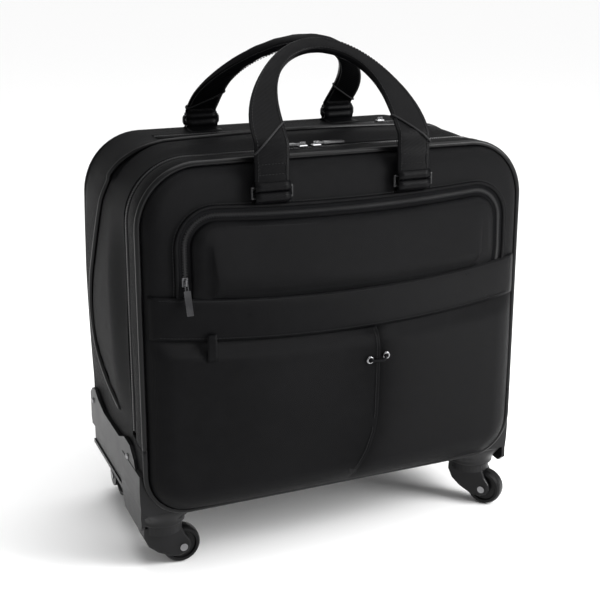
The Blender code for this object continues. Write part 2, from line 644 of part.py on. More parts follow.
def wheel(name, radius, width, centre, axis, **home):
    """Wheel with a rounded tread and dished sides, bored for its axle."""
    half = width / 2
    dish = half - 0.0020
    profile = [(AXLE_R + RUNNING, -dish - 0.0008), (0.0062, -dish - 0.0008), (0.0072, -dish),
               (radius - 0.0060, -dish), (radius - 0.0050, -half), (radius - 0.0022, -half),
               (radius - 0.0005, -half * 0.72), (radius, -half * 0.4), (radius, half * 0.4),
               (radius - 0.0005, half * 0.72), (radius - 0.0022, half), (radius - 0.0050, half),
               (radius - 0.0060, dish), (0.0072, dish), (0.0062, dish + 0.0008),
               (AXLE_R + RUNNING, dish + 0.0008)]
    body = turned(name, profile, centre, axis, 36)
    return finish(body, name, "wheel_rubber", centre, **home)


def headed_pin(name, centre, axis, half, **home):
    """Axle with a low head at each end."""
    axis = Vector(axis)
    centre = Vector(centre)
    body = rod(name, centre - axis * half, centre + axis * half, AXLE_R, 20)
    for end in (-1, 1):
        start = centre + axis * (end * half)
        add(body, rod(name + "_head", start - axis * end * 0.0002, start + axis * end * 0.0010, 0.0042, 20))
    return finish(body, name, "steel", tuple(centre), **home)


FORK_OUTLINE = ((-0.0215, 0.0500), (-0.0222, 0.0380), (-0.0170, 0.0270), (-0.0070, 0.0185), (0.0060, 0.0120),
                (0.0180, 0.0108), (0.0260, 0.0140), (0.0290, 0.0205), (0.0280, 0.0270), (0.0230, 0.0340),
                (0.0190, 0.0430), (0.0190, 0.0500))
FORK_HALF = 0.0130


def caster(side, sign, heading):
    """Swivel caster: fork turning on its stem, with a trailing wheel; heading is the trail's direction."""
    spot = Vector((sign * CASTER_X, depth(CASTER_Y), 0.0))
    turn = Matrix.Rotation(math.radians(heading), 4, "Z")
    body = flat("fork_" + side, FORK_OUTLINE, -FORK_HALF, FORK_HALF, "Y")
    bevel(body, 0.0022, 2)
    add(body, rod("fork_hub", (0, 0, 0.0420), (0, 0, 0.0514), 0.0218, 32))
    add(body, rod("fork_stem", (0, 0, 0.0500), (0, 0, 0.0620), STEM_R, 24))
    cut(body, box("fork_slot", (-0.0018, 0.0500), (-CASTER_WHEEL_W / 2 - 0.0007, CASTER_WHEEL_W / 2 + 0.0007),
                  (-0.005, 0.0424)))
    cut(body, rod("fork_bore", (CASTER_TRAIL, -0.02, CASTER_WHEEL_R), (CASTER_TRAIL, 0.02, CASTER_WHEEL_R),
                  AXLE_R + RUNNING, 20))
    body = settled(body)
    body.data.transform(Matrix.Translation(spot) @ turn)
    fork = finish(body, "caster_fork_" + side, "guard_plastic", tuple(spot), main_shell)
    axis = turn @ Vector((0, 1, 0))
    hub = spot + turn @ Vector((CASTER_TRAIL, 0, CASTER_WHEEL_R))
    headed_pin("caster_axle_" + side, hub, axis, FORK_HALF + 0.0003, parent=fork)
    wheel("caster_wheel_" + side, CASTER_WHEEL_R, CASTER_WHEEL_W, tuple(hub), axis, parent=fork)


for side, sign in sides:
    corner_guard(side, sign)
    hub = (sign * REAR_WHEEL_X, depth(REAR_WHEEL_Y), REAR_WHEEL_R)
    headed_pin("rear_axle_" + side, hub, (1, 0, 0), 0.0188, parent=main_shell)
    wheel("rear_wheel_" + side, REAR_WHEEL_R, REAR_WHEEL_W, hub, (1, 0, 0), parent=main_shell)
caster("left", -1, 0)
caster("right", 1, -52)
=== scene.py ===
"""Looks of the rolling laptop case: padded nylon panels, piping, zips, webbing and running gear."""
import json
import math

import bmesh
import bpy
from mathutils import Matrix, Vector


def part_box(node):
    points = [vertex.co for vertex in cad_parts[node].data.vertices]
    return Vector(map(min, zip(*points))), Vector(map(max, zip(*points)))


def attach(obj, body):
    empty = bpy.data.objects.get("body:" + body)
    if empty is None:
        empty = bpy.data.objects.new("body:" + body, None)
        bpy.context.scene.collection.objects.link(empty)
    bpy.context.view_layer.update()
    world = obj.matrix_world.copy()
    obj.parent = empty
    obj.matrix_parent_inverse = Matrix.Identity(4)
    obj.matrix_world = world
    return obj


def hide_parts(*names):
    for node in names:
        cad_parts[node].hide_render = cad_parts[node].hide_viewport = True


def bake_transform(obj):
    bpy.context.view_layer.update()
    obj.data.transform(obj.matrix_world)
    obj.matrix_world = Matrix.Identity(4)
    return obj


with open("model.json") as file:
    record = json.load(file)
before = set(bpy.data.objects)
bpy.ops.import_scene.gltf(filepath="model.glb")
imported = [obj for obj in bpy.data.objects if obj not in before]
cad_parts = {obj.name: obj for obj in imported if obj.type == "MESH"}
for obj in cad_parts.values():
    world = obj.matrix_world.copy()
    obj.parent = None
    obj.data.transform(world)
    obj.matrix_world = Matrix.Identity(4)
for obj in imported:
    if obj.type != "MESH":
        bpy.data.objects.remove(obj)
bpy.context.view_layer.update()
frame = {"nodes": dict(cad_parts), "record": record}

# ------------------------------------------------------------------ driving dimensions, metres
FRONT_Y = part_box("front_cover")[1][1] - 0.030
HALF_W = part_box("rear_shell")[1][0]
BASE_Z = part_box("rear_shell")[0][2]
TOP_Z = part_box("rear_shell")[1][2]
TOP_R = 0.062
LOW_R = 0.045
FOLD_Z = 0.1475
COVER_BACK = 0.030
MAIN_FRONT = 0.0365
REAR_BACK = 0.2075


def depth(offset):
    """World Y of a station behind the front piping."""
    return FRONT_Y + offset


# ------------------------------------------------------------------ materials
def new_material(name, colour, roughness, metallic=0.0, sheen=0.0, specular=0.5, ior=1.45):
    mat = bpy.data.materials.new(name)
    mat.use_nodes = True
    shader = mat.node_tree.nodes["Principled BSDF"]
    shader.inputs["Base Color"].default_value = (*colour, 1.0)
    shader.inputs["Roughness"].default_value = roughness
    shader.inputs["Metallic"].default_value = metallic
    shader.inputs["Sheen Weight"].default_value = sheen
    shader.inputs["Sheen Roughness"].default_value = 0.45
    shader.inputs["Specular IOR Level"].default_value = specular
    shader.inputs["IOR"].default_value = ior
    return mat, shader


def node(mat, kind, **values):
    made = mat.node_tree.nodes.new(kind)
    for key, value in values.items():
        if key in made.inputs:
            made.inputs[key].default_value = value
        else:
            setattr(made, key, value)
    return made


def maths(mat, operation, first, second):
    """One Math node on two sockets or numbers."""
    made = mat.node_tree.nodes.new("ShaderNodeMath")
    made.operation = operation
    for socket, value in zip(made.inputs, (first, second)):
        if isinstance(value, (int, float)):
            socket.default_value = value
        else:
            mat.node_tree.links.new(value, socket)
    return made.outputs[0]


def place_socket(mat):
    return node(mat, "ShaderNodeTexCoord").outputs["Object"]


def sine_bands(mat, place, direction, period):
    """Sine wave across the object, along a direction."""
    dot = node(mat, "ShaderNodeVectorMath", operation="DOT_PRODUCT")
    mat.node_tree.links.new(place, dot.inputs[0])
    dot.inputs[1].default_value = direction
    return maths(mat, "SINE", maths(mat, "MULTIPLY", dot.outputs["Value"], 2 * math.pi / period), 0.0)


def noise(mat, place, scale, detail=3.0):
    made = node(mat, "ShaderNodeTexNoise", Scale=scale, Detail=detail)
    mat.node_tree.links.new(place, made.inputs["Vector"])
    return made.outputs["Fac"]


def tint(mat, shader, factor, dark, light):
    """Colour that drifts between two tones."""
    ramp = node(mat, "ShaderNodeValToRGB")
    ramp.color_ramp.elements[0].position = 0.35
    ramp.color_ramp.elements[1].position = 0.70
    ramp.color_ramp.elements[0].color = (*dark, 1.0)
    ramp.color_ramp.elements[1].color = (*light, 1.0)
    mat.node_tree.links.new(factor, ramp.inputs["Fac"])
    mat.node_tree.links.new(ramp.outputs["Color"], shader.inputs["Base Color"])


def rough(mat, shader, factor, low, high):
    span = node(mat, "ShaderNodeMapRange")
    span.inputs["To Min"].default_value = low
    span.inputs["To Max"].default_value = high
    mat.node_tree.links.new(factor, span.inputs["Value"])
    mat.node_tree.links.new(span.outputs["Result"], shader.inputs["Roughness"])


def bump(mat, shader, height, distance, strength=1.0):
    made = node(mat, "ShaderNodeBump", Strength=strength, Distance=distance)
    mat.node_tree.links.new(height, made.inputs["Height"])
    mat.node_tree.links.new(made.outputs["Normal"], shader.inputs["Normal"])


def woven(name, dark, light, roughness, period, relief, sheen, slub=90.0, specular=0.3, ior=1.2):
    """Woven cloth: two crossing yarn waves, slubs, and a slow drift of tone and gloss."""
    mat, shader = new_material(name, light, roughness, sheen=sheen, specular=specular, ior=ior)
    place = place_socket(mat)
    warp = sine_bands(mat, place, (1.0, 1.0, 0.0), period)
    weft = sine_bands(mat, place, (0.12, -0.12, 1.0), period)
    weave = maths(mat, "MULTIPLY", warp, weft)
    slubs = noise(mat, place, slub, 4.0)
    drift = noise(mat, place, 9.0, 2.0)
    mixed = maths(mat, "ADD", maths(mat, "MULTIPLY", slubs, 0.5), maths(mat, "MULTIPLY", drift, 0.5))
    grain = maths(mat, "ADD", mixed, maths(mat, "MULTIPLY", weave, 0.10))
    tint(mat, shader, grain, dark, light)
    rough(mat, shader, mixed, roughness - 0.08, roughness + 0.08)
    bump(mat, shader, maths(mat, "ADD", weave, maths(mat, "MULTIPLY", slubs, 0.8)), relief)
    return mat


def ribbed(name, dark, light, roughness, direction, period, relief, sheen=0.0, specular=0.3, ior=1.2):
    """Webbing or tape: close ribs across its run."""
    mat, shader = new_material(name, light, roughness, sheen=sheen, specular=specular, ior=ior)
    place = place_socket(mat)
    ribs = sine_bands(mat, place, direction, period)
    flecks = noise(mat, place, 260.0, 3.0)
    drift = noise(mat, place, 14.0, 2.0)
    mixed = maths(mat, "ADD", maths(mat, "MULTIPLY", flecks, 0.4), maths(mat, "MULTIPLY", drift, 0.6))
    tint(mat, shader, mixed, dark, light)
    rough(mat, shader, flecks, roughness - 0.07, roughness + 0.07)
    bump(mat, shader, maths(mat, "ADD", ribs, flecks), relief)
    return mat


def moulded(name, dark, light, roughness, grain=900.0, relief=0.00006, metallic=0.0, specular=0.5):
    """Moulded plastic or cast metal: fine spark grain, with wear that varies its gloss."""
    mat, shader = new_material(name, light, roughness, metallic, specular=specular)
    place = place_socket(mat)
    fine = noise(mat, place, grain, 2.0)
    wear = noise(mat, place, 35.0, 5.0)
    tint(mat, shader, wear, dark, light)
    rough(mat, shader, wear, roughness - 0.06, roughness + 0.08)
    bump(mat, shader, fine, relief)
    return mat


CLOTH_LOOK = {"specular": 0.50, "ior": 1.14}
NYLON = woven("nylon", (0.0017, 0.0017, 0.0020), (0.0034, 0.0034, 0.0038), 0.40, 0.0011, 0.00010, 0.0,
              **CLOTH_LOOK)
NYLON_SIDE = woven("nylon_side", (0.0017, 0.0017, 0.0020), (0.0034, 0.0034, 0.0038), 0.46, 0.0011, 0.00010, 0.0,
                   specular=0.50, ior=1.10)
TWILL = woven("band_cloth", (0.0013, 0.0013, 0.0016), (0.0028, 0.0028, 0.0032), 0.30, 0.0008, 0.00007, 0.0,
              **CLOTH_LOOK)
WEBBING = ribbed("handle_webbing", (0.0015, 0.0015, 0.0018), (0.0030, 0.0030, 0.0034), 0.36, (0.3, 0.2, 1.0),
                 0.0014, 0.00005, **CLOTH_LOOK)
TAPE = ribbed("zip_tape_cloth", (0.0030, 0.0030, 0.0034), (0.0052, 0.0052, 0.0058), 0.60, (1.0, 1.0, 1.0),
              0.0009, 0.00008, specular=0.15)
ELASTIC = ribbed("elastic_braid", (0.0040, 0.0040, 0.0046), (0.0075, 0.0075, 0.0082), 0.6, (1.0, 0.0, 0.4),
                 0.0009, 0.00010, specular=0.25)
LINING = woven("lining_cloth", (0.030, 0.030, 0.032), (0.048, 0.048, 0.051), 0.80, 0.0009, 0.00006, 0.1,
               specular=0.2)
PIPING = moulded("piping_cord", (0.0024, 0.0024, 0.0027), (0.0044, 0.0044, 0.0048), 0.30, 700.0, 0.00008,
                 specular=0.18)
COIL = moulded("zip_coil", (0.0060, 0.0060, 0.0068), (0.0110, 0.0110, 0.0120), 0.32, 500.0, 0.00003,
               specular=0.45)
THREAD = moulded("stitch_thread", (0.0050, 0.0050, 0.0055), (0.0085, 0.0085, 0.0092), 0.50, 1200.0, 0.00004,
                 specular=0.20)
PLASTIC = moulded("guard_moulding", (0.0050, 0.0050, 0.0054), (0.0080, 0.0080, 0.0086), 0.34, 1100.0, 0.00005,
                  specular=0.20)
RUBBER = moulded("wheel_tread", (0.0034, 0.0034, 0.0037), (0.0062, 0.0062, 0.0066), 0.34, 700.0, 0.00005,
                 specular=0.16)
BOARD = moulded("stiffener", (0.045, 0.045, 0.046), (0.060, 0.060, 0.062), 0.6, specular=0.3)
BLACK_WIRE = moulded("black_wire", (0.0110, 0.0110, 0.0120), (0.0180, 0.0180, 0.0190), 0.28, 400.0, 0.00002)
GUNMETAL = moulded("gunmetal", (0.060, 0.060, 0.063), (0.110, 0.110, 0.114), 0.26, 400.0, 0.00002, 0.9)
NICKEL = moulded("bright_nickel", (0.42, 0.42, 0.43), (0.58, 0.58, 0.59), 0.20, 300.0, 0.00002, 1.0)
STEEL = moulded("dark_nickel", (0.17, 0.17, 0.175), (0.26, 0.26, 0.265), 0.24, 300.0, 0.00002, 1.0)
ALUMINIUM = moulded("anodised_tube", (0.30, 0.30, 0.31), (0.40, 0.40, 0.41), 0.34, 500.0, 0.00002, 1.0)


# ------------------------------------------------------------------ mesh helpers
def link(name, mesh, mat, body, replaced=(), smooth=True):
    obj = bpy.data.objects.new(name, mesh)
    bpy.context.scene.collection.objects.link(obj)
    mesh.materials.append(mat)
    if smooth:
        mesh.shade_smooth()
    if body:
        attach(obj, body)
    if replaced:
        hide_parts(*replaced)
    return obj


def grid_mesh(name, rows, close_u=False, close_v=False):
    """Quads between rows of equal length."""
    mesh = bpy.data.meshes.new(name)
    count = len(rows[0])
    points = [p for row in rows for p in row]
    faces = []
    last_row = len(rows) if close_v else len(rows) - 1
    last_col = count if close_u else count - 1
    for i in range(last_row):
        for j in range(last_col):
            a = i * count + j
            b = i * count + (j + 1) % count
            c = ((i + 1) % len(rows)) * count + (j + 1) % count
            d = ((i + 1) % len(rows)) * count + j
            faces.append((a, b, c, d))
    mesh.from_pydata(points, [], faces)
    mesh.update()
    return mesh


def thicken(obj, thickness, offset=-1.0):
    mod = obj.modifiers.new("thickness", "SOLIDIFY")
    mod.thickness = thickness
    mod.offset = offset
    return obj


def cord_tube(name, points, radius, mat, body, replaced=(), sides=10, closed=False):
    """Round cord along world points, as a mesh tube with rounded ends."""
    points = [Vector(p) for p in points]
    count = len(points)
    rows = []
    normal = None
    for i, p in enumerate(points):
        before = points[(i - 1) % count] if closed or i else p
        after = points[(i + 1) % count] if closed or i < count - 1 else p
        along = (after - before).normalized()
        if normal is None:
            normal = along.orthogonal().normalized()
        normal = (normal - along * normal.dot(along)).normalized()
        side = along.cross(normal)
        rows.append([p + (normal * math.cos(a) + side * math.sin(a)) * radius
                     for a in (2 * math.pi * k / sides for k in range(sides))])
    if not closed:
        for end, near in ((0, 1), (-1, -2)):
            out = (points[end] - points[near]).normalized() * radius * 0.5
            cap = [points[end] + out + (q - points[end]) * 0.55 for q in rows[end]]
            rows.insert(0 if end == 0 else len(rows), cap)
    mesh = grid_mesh(name, rows, close_u=True, close_v=closed)
    if not closed:
        bm = bmesh.new()
        bm.from_mesh(mesh)
        bmesh.ops.holes_fill(bm, edges=bm.edges, sides=sides)
        bmesh.ops.recalc_face_normals(bm, faces=bm.faces)
        bm.to_mesh(mesh)
        bm.free()
    return link(name, mesh, mat, body, replaced)


# ------------------------------------------------------------------ case outline
def outline(inset=0.0, arc_steps=14, edge_step=0.012):
    """Round-cornered outline: list of (x, z, nx, nz), counter-clockwise from the right side's foot."""
    low, high = BASE_Z + inset, TOP_Z - inset
    half = HALF_W - inset
    rt, rl = TOP_R - inset, LOW_R - inset
    corners = (((half - rt, high - rt), rt, 0), ((rt - half, high - rt), rt, 90),
               ((rl - half, low + rl), rl, 180), ((half - rl, low + rl), rl, 270))
    points = []
    for k, ((cx, cz), r, start) in enumerate(corners):
        for i in range(arc_steps + 1):
            a = math.radians(start + 90 * i / arc_steps)
            points.append((cx + r * math.cos(a), cz + r * math.sin(a), math.cos(a), math.sin(a)))
        (nx, nz), nr, nstart = corners[(k + 1) % 4]
        a = math.radians(nstart)
        goal = (nx + nr * math.cos(a), nz + nr * math.sin(a))
        here = points[-1]
        run = math.hypot(goal[0] - here[0], goal[1] - here[1])
        pieces = max(2, round(run / edge_step))
        stops = [i / pieces for i in range(1, pieces)]
        if abs(goal[1] - here[1]) > 0.1:
            fold = (FOLD_Z - here[1]) / (goal[1] - here[1])
            stops = sorted([t for t in stops if abs(t - fold) > 0.4 / pieces] + [fold])
        for t in stops:
            points.append((here[0] + (goal[0] - here[0]) * t, here[1] + (goal[1] - here[1]) * t,
                           math.cos(a), math.sin(a)))
    return points


def half_width(z, inset=0.0):
    """Half the outline's width at a height."""
    low, high = BASE_Z + inset, TOP_Z - inset
    half = HALF_W - inset
    rt, rl = TOP_R - inset, LOW_R - inset
    z = min(max(z, low), high)
    if z > high - rt:
        return half - rt + math.sqrt(max(rt * rt - (z - high + rt) ** 2, 0.0))
    if z < low + rl:
        return half - rl + math.sqrt(max(rl * rl - (low + rl - z) ** 2, 0.0))
    return half


def edge_distance(x, z, inset=0.0):
    """How far inside the outline a point lies."""
    low, high = BASE_Z + inset, TOP_Z - inset
    half = HALF_W - inset
    rt, rl = TOP_R - inset, LOW_R - inset
    radius = rt if z > (low + high) / 2 else rl
    dx = half - abs(x)
    dz = min(z - low, high - z)
    if dx < radius and dz < radius:
        return radius - math.hypot(radius - dx, radius - dz)
    return min(dx, dz)


# ------------------------------------------------------------------ how the soft surfaces swell
def smooth(t):
    t = min(max(t, 0.0), 1.0)
    return t * t * (3 - 2 * t)


def front_swell(x, z):
    """How far the front panel stands in front of the piping's plane."""
    inside = max(edge_distance(x, z, 0.003), 0.0)
    roll = 0.0085 * math.sqrt(max(1 - (1 - min(inside / 0.016, 1.0)) ** 2, 0.0))
    across = 1 - (x / HALF_W) ** 2
    up = 1 - ((z - 0.235) / 0.20) ** 2
    return roll + 0.0165 * max(across, 0.0) ** 0.8 * max(up, 0.0) ** 0.8


def fabric_ripple(x, z, seed):
    """Slight unevenness of hand-sewn padding."""
    return 0.0006 * (math.sin(31 * x + 17 * z + seed) * math.sin(23 * z - 11 * x + 2 * seed))


# ------------------------------------------------------------------ stitching, zips and webbing
def resample(points, pitch):
    """Points at an even pitch along a polyline, each with its direction."""
    made = []
    left = 0.0
    for a, b in zip(points[:-1], points[1:]):
        a, b = Vector(a), Vector(b)
        run = (b - a).length
        if run < 1e-9:
            continue
        along = (b - a) / run
        while left <= run:
            made.append((a + along * left, along))
            left += pitch
        left -= run
    return made


BLOCK_FACES = ((0, 3, 2, 1), (4, 5, 6, 7), (0, 1, 5, 4), (1, 2, 6, 5), (2, 3, 7, 6), (3, 0, 4, 7))


def little_boxes(name, places, size, mat, body):
    """One mesh of small blocks, each (centre, along, up), sized along, across and up."""
    mesh = bpy.data.meshes.new(name)
    points, faces = [], []
    for centre, along, up in places:
        across = along.cross(up).normalized()
        high = across.cross(along).normalized()
        base = len(points)
        for w, shrink in ((-1, 1.0), (1, 0.72)):
            for u, v in ((-1, -1), (1, -1), (1, 1), (-1, 1)):
                corner = along * (u * size[0] / 2 * shrink) + across * (v * size[1] / 2 * shrink)
                points.append(centre + corner + high * (w * size[2] / 2))
        faces += [tuple(base + k for k in face) for face in BLOCK_FACES]
    mesh.from_pydata(points, [], faces)
    mesh.update()
    return link(name, mesh, mat, body, smooth=False)


def stitching(name, points, up, body, pitch=0.0034, length=0.0024):
    """A row of lockstitch threads; up(point) is the cloth's outward direction."""
    places = [(p + up(p) * 0.0002, along, up(p)) for p, along in resample(points, pitch)]
    return little_boxes(name, places, (length, 0.0007, 0.0005), THREAD, body)


def ribbon(name, path, width, normals, mat, body, replaced=(), lift=0.0, thickness=0.0, crown_by=0.0,
           across_steps=6):
    """Flat strip along a path, lying square to its normals."""
    rows = []
    count = len(path)
    for i, p in enumerate(path):
        p = Vector(p)
        before, after = Vector(path[max(i - 1, 0)]), Vector(path[min(i + 1, count - 1)])
        along = (after - before).normalized()
        up = Vector(normals[i]).normalized()
        across = along.cross(up).normalized()
        row = []
        for j in range(across_steps + 1):
            t = 2 * j / across_steps - 1
            row.append(p + across * (t * width / 2) + up * (lift + crown_by * (1 - t * t)))
        rows.append(row)
    obj = link(name, grid_mesh(name, rows), mat, body, replaced)
    if thickness:
        thicken(obj, thickness, 0.0)
    return obj


def zip_coil(name, path, normals, body):
    """Interlocked zip teeth along a path."""
    table = []
    for i in range(len(path) - 1):
        table.append((Vector(path[i]), Vector(path[i + 1]), Vector(normals[i]).normalized()))
    places = []
    side = 1
    left = 0.0
    for a, b, up in table:
        run = (b - a).length
        if run < 1e-9:
            continue
        along = (b - a) / run
        while left <= run:
            across = along.cross(up).normalized()
            places.append((a + along * left + across * (side * 0.0007) + up * 0.0006, along, up))
            side = -side
            left += 0.0013
        left -= run
    return little_boxes(name, places, (0.0010, 0.0040, 0.0012), COIL, body)


def front_out(p):
    """Outward direction of the front face at a point."""
    e = 0.004
    x, z = p[0], p[2]
    dx = (front_swell(x + e, z) - front_swell(x - e, z)) / (2 * e)
    dz = (front_swell(x, z + e) - front_swell(x, z - e)) / (2 * e)
    return Vector((-dx, -1.0, -dz)).normalized()


# ------------------------------------------------------------------ front panel
PLEAT = ((0.252, 0.031), (0.200, 0.031), (0.160, 0.0305), (0.140, 0.028), (0.120, 0.022), (0.094, 0.009),
         (0.070, 0.001))


def pleat_x(z):
    """Where the fold between the two lower panels runs."""
    for (z1, x1), (z0, x0) in zip(PLEAT[:-1], PLEAT[1:]):
        if z >= z0:
            t = min(max((z - z0) / (z1 - z0), 0.0), 1.0)
            return x0 + (x1 - x0) * t
    return PLEAT[-1][1]


BAND_MID = 0.2745
BAND_HALF = 0.0215
BAND_SAG = 0.0125
PANEL_PUFF = 0.0055
PLEAT_RISE = 0.0070
PLEAT_DROP = 0.0058


def band_middle(x):
    return BAND_MID + BAND_SAG * (x / HALF_W) ** 2


def panel_height(x, z):
    """Front panel in front of the piping plane, with the fuller lower panels and their pleat."""
    base = front_swell(x, z) + fabric_ripple(x, z, 1.3)
    under = band_middle(x) - BAND_HALF - z
    if under > 0:
        edge = smooth((half_width(z) - abs(x)) / 0.030)
        base += PANEL_PUFF * smooth(under / 0.020) * smooth((z - BASE_Z) / 0.030) * edge
        d = x - pleat_x(z)
        near = smooth((z - 0.080) / 0.03) * smooth(under / 0.006)
        if d < 0:
            base += PLEAT_RISE * math.exp(d / 0.026) * near
        else:
            base -= PLEAT_DROP * math.exp(-d / 0.011) * near
    else:
        base -= 0.0010 * math.exp(under / 0.012)
    return base


def panel_columns(wide, fold_x):
    left = [-wide + (fold_x + wide) * (1 - (1 - i / 62) ** 1.25) for i in range(63)]
    right = [fold_x + 0.0005 + (wide - fold_x - 0.0005) * (i / 56) ** 1.2 for i in range(57)]
    return left[:-1] + [fold_x - 0.0005] + right


rows = []
STEPS = 96
for i in range(STEPS + 1):
    t = i / STEPS
    z = BASE_Z + 0.003 + (TOP_Z - BASE_Z - 0.006) * (0.82 * t + 0.18 * (0.5 - 0.5 * math.cos(math.pi * t)))
    columns = panel_columns(half_width(z, 0.003), pleat_x(z))
    rows.append([(x, depth(-panel_height(x, z)), z) for x in columns])
mesh = grid_mesh("front_panel", rows)
front_panel = link("front_panel", mesh, NYLON, None,
                   ("front_cover", "lower_panel_left", "lower_panel_right"))


# ------------------------------------------------------------------ sides, top and base
SEAM_PATH = ((0.086, 0.1590), (0.104, 0.1640), (0.128, 0.1740), (0.150, 0.1900), (0.163, 0.2120),
             (0.168, 0.2450), (0.163, 0.2750), (0.155, 0.2980), (0.147, 0.3160), (0.137, 0.3450),
             (0.128, 0.3750), (0.121, 0.4000), (0.115, 0.4200), (0.110, 0.4320))


def between(t, path):
    """Point on a smooth curve through a path, t from 0 to 1."""
    s = t * (len(path) - 1)
    i = min(int(s), len(path) - 2)
    f = s - i
    p0, p1 = path[max(i - 1, 0)], path[i]
    p2, p3 = path[i + 1], path[min(i + 2, len(path) - 1)]
    made = []
    for a, b, c, d in zip(p0, p1, p2, p3):
        square = 2 * a - 5 * b + 4 * c - d
        cube = 3 * b - a - 3 * c + d
        made.append(0.5 * (2 * b + (c - a) * f + square * f * f + cube * f ** 3))
    return tuple(made)


SEAM_SAMPLES = [between(k / 60, SEAM_PATH) for k in range(61)]


def seam_station(x, z):
    """Station of the seam over the top of the case."""
    return 0.098 + 0.012 * min(abs(x) / (HALF_W - TOP_R), 1.0) ** 2


def seam_gap(off, x, z, nz):
    """Distance to the seam between the main and rear sections."""
    if nz > 0.5:
        return abs(off - seam_station(x, z))
    return min(math.hypot(off - a, z - b) for a, b in SEAM_SAMPLES)


SWELL = 0.0085


def crown(off, nx, nz, x, z):
    """Outward swell of the padded sides and top."""
    if off <= MAIN_FRONT:
        return 0.0
    t = (off - MAIN_FRONT) / (REAR_BACK - MAIN_FRONT)
    top = max(nz, 0.0) * SWELL * max(1 - (x / 0.185) ** 2, 0.0) * smooth(t / 0.2)
    top *= smooth((0.144 - off) / 0.026)
    side = abs(nx) * SWELL * max(1 - ((z - 0.27) / 0.118) ** 2, 0.0) * smooth(t / 0.3)
    side *= 1 - 0.7 * smooth((t - 0.86) / 0.14)
    seam = 0.0 if z < 0.155 else 0.0024 * math.exp(-(seam_gap(off, x, z, nz) / 0.006) ** 2)
    return top + side - seam


def section(name, y_low, y_high, steps, body, keep, puff=0.0, replaced=(), mat=NYLON_SIDE, inset=0.0):
    """Band of the case's wall between two stations, for the outline points that keep(z) takes."""
    run = outline(inset)
    start = next((i for i, p in enumerate(run) if not keep(p[1])), 0)
    run = run[start:] + run[:start]
    run = [p for p in run if keep(p[1])]
    closed = len(run) == len(outline(inset))
    grid = []
    for i in range(steps + 1):
        t = i / steps
        off = y_low + (y_high - y_low) * t
        row = []
        for x, z, nx, nz in run:
            ripple = 0.0004 * math.sin(60 * off + 40 * z + 21 * x)
            out = crown(off, nx, nz, x, z) + puff * math.sin(math.pi * t) + ripple
            row.append((x + nx * out, depth(off), z + nz * out))
        grid.append(row)
    mesh = grid_mesh(name, grid, close_u=closed)
    mesh.flip_normals()
    obj = link(name, mesh, mat, body, replaced)
    obj.data.materials.append(LINING)
    mod = obj.modifiers.new("thickness", "SOLIDIFY")
    mod.thickness = 0.0028
    mod.offset = -1.0
    mod.material_offset = 1
    mod.use_even_offset = True
    return obj


def above(z):
    return z > FOLD_Z - 0.0001


def below(z):
    return z < FOLD_Z + 0.0001


ZIP_ROOM = 0.0030
section("cover_side", 0.0, COVER_BACK - ZIP_ROOM, 8, "cover", above, 0.0012)
section("lower_side", 0.0, MAIN_FRONT + ZIP_ROOM, 10, "case", below, 0.0004)
wall = section("case_wall", MAIN_FRONT + ZIP_ROOM, REAR_BACK, 60, "case", lambda z: True, 0.0,
               ("main_shell", "rear_shell"))

# inner back wall of the main compartment and the rear face under the back panel
for name, off, mat in (("divider", 0.1075, LINING), ("rear_face", REAR_BACK - 0.0008, NYLON_SIDE)):
    ring = outline(0.003)
    mesh = bpy.data.meshes.new(name)
    mesh.from_pydata([(x, depth(off), z) for x, z, _, _ in ring], [], [tuple(range(len(ring)))])
    link(name, mesh, mat, "case", smooth=False)

# back of the front panel
ring = [p for p in outline(0.005) if above(p[1])]
mesh = bpy.data.meshes.new("cover_lining")
mesh.from_pydata([(x, depth(0.0040), z) for x, z, _, _ in ring], [], [tuple(range(len(ring)))])
link("cover_lining", mesh, LINING, "cover", smooth=False)
ring = [p for p in outline(0.005) if below(p[1])]
mesh = bpy.data.meshes.new("foot_lining")
mesh.from_pydata([(x, depth(0.0040), z) for x, z, _, _ in ring], [], [tuple(range(len(ring)))])
link("foot_lining", mesh, LINING, "case", smooth=False)


# ------------------------------------------------------------------ pipings
def open_run(keep, arc_steps=14, edge_step=0.012):
    """The outline's points that keep(z) takes, in order up the right side and down the left."""
    run = outline(0.0, arc_steps, edge_step)
    start = next(i for i, p in enumerate(run) if not keep(p[1]))
    return [p for p in run[start:] + run[:start] if keep(p[1])]


def outline_path(off, lift, keep):
    """Cord path round the outline at a station, starting where keep begins."""
    return [(x + nx * lift, depth(off), z + nz * lift) for x, z, nx, nz in open_run(keep)]


PIPE_LIFT = -0.0012
cord_tube("front_piping_cord", outline_path(-0.0016, PIPE_LIFT, above), 0.0030, PIPING, "cover",
          ("front_piping",))
cord_tube("lower_piping_cord", outline_path(-0.0016, PIPE_LIFT, below), 0.0030, PIPING, "case",
          ("lower_piping",))


def on_wall(off, x, z, nx, nz, lift):
    out = crown(off, nx, nz, x, z) + lift
    return (x + nx * out, depth(off), z + nz * out)


def wall_point(off, z, sign, lift):
    """Point on the case wall's side at a station and height, following the round top corner."""
    a = math.asin(min(max((z - TOP_Z + TOP_R) / TOP_R, 0.0), 1.0))
    x = sign * (HALF_W - TOP_R + TOP_R * math.cos(a))
    return on_wall(off, x, z, sign * math.cos(a), math.sin(a), lift)


